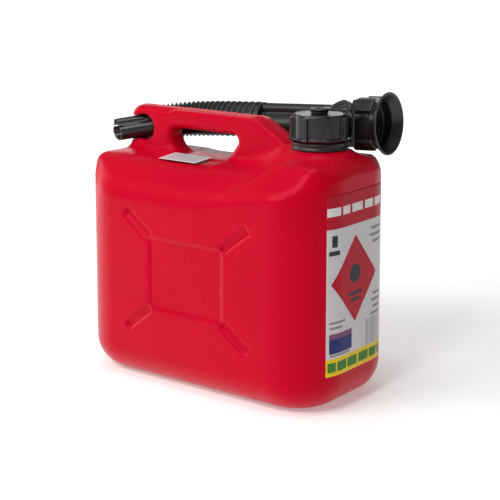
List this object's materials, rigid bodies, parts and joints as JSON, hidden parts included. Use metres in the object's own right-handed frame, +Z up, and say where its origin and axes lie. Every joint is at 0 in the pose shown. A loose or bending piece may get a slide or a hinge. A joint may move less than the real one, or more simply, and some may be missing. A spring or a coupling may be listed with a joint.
{
  "type": "jerry can",
  "caption": "Upright plastic fuel can with a top carrying handle, a tethered screw cap and a flexible pouring spout stowed through the handle's pillar.",
  "frame": {"origin": "centre of the flat underside of the tank, between its four corners", "axes": "+X towards the neck and label end, +Y towards the side that the spout is stowed on, +Z up"},
  "size_m": [0.2702, 0.1483, 0.2674],
  "materials": {
    "red_plastic": "satin blow-moulded polyethylene",
    "black_plastic": "satin moulded plastic",
    "black_flexible": "soft flexible plastic",
    "seal_rubber": "matt",
    "label_film": "printed film",
    "silver_film": "silver film"
  },
  "bodies": {
    "can": {"can_base": "red_plastic", "can_walls": "red_plastic", "can_shoulders": "red_plastic", "can_handle": "red_plastic", "can_neck": "red_plastic", "end_label": "label_film", "top_sticker": "silver_film"},
    "ring": {"tether_ring": "black_flexible"},
    "strap": {"cap_strap": "black_flexible"},
    "gasket": {"cap_gasket": "seal_rubber"},
    "cap": {"screw_cap": "black_plastic"},
    "spout": {"spout_nozzle": "black_plastic", "spout_bellows": "black_flexible", "spout_barrel": "black_plastic", "vent_tube": "black_flexible", "spout_gasket": "seal_rubber"},
    "nut": {"spout_nut": "black_plastic"}
  },
  "joints": [
    {"name": "cap_lift", "type": "slide", "parent": "can", "child": "gasket", "axis": [0, 0, 1], "range_m": [0, 0.008]},
    {"name": "cap_turn", "type": "hinge", "parent": "gasket", "child": "cap", "pos_m": [0.0924, 0, 0.24], "axis": [0, 0, 1], "range_deg": [0, 720]},
    {"name": "tether_swivel", "type": "hinge", "parent": "can", "child": "ring", "pos_m": [0.0924, 0, 0.225], "axis": [0, 0, 1], "range_deg": [-150, 0]},
    {"name": "strap_lift", "type": "slide", "parent": "ring", "child": "strap", "axis": [0, 0, 1], "range_m": [0, 0.008]},
    {"name": "spout_pull", "type": "slide", "parent": "can", "child": "spout", "axis": [0.7566, 0.6349, 0.1564], "range_m": [0, 0.095]},
    {"name": "nut_turn", "type": "hinge", "parent": "spout", "child": "nut", "pos_m": [0.131, 0.051, 0.24], "axis": [0.9958, 0.0758, 0.0505], "continuous": true}
  ],
  "couplings": [
    {"joint": "cap_lift", "follows": "cap_turn", "m_per_rad": 0.00063662},
    {"joint": "strap_lift", "follows": "cap_turn", "m_per_rad": 0.00063662}
  ]
}
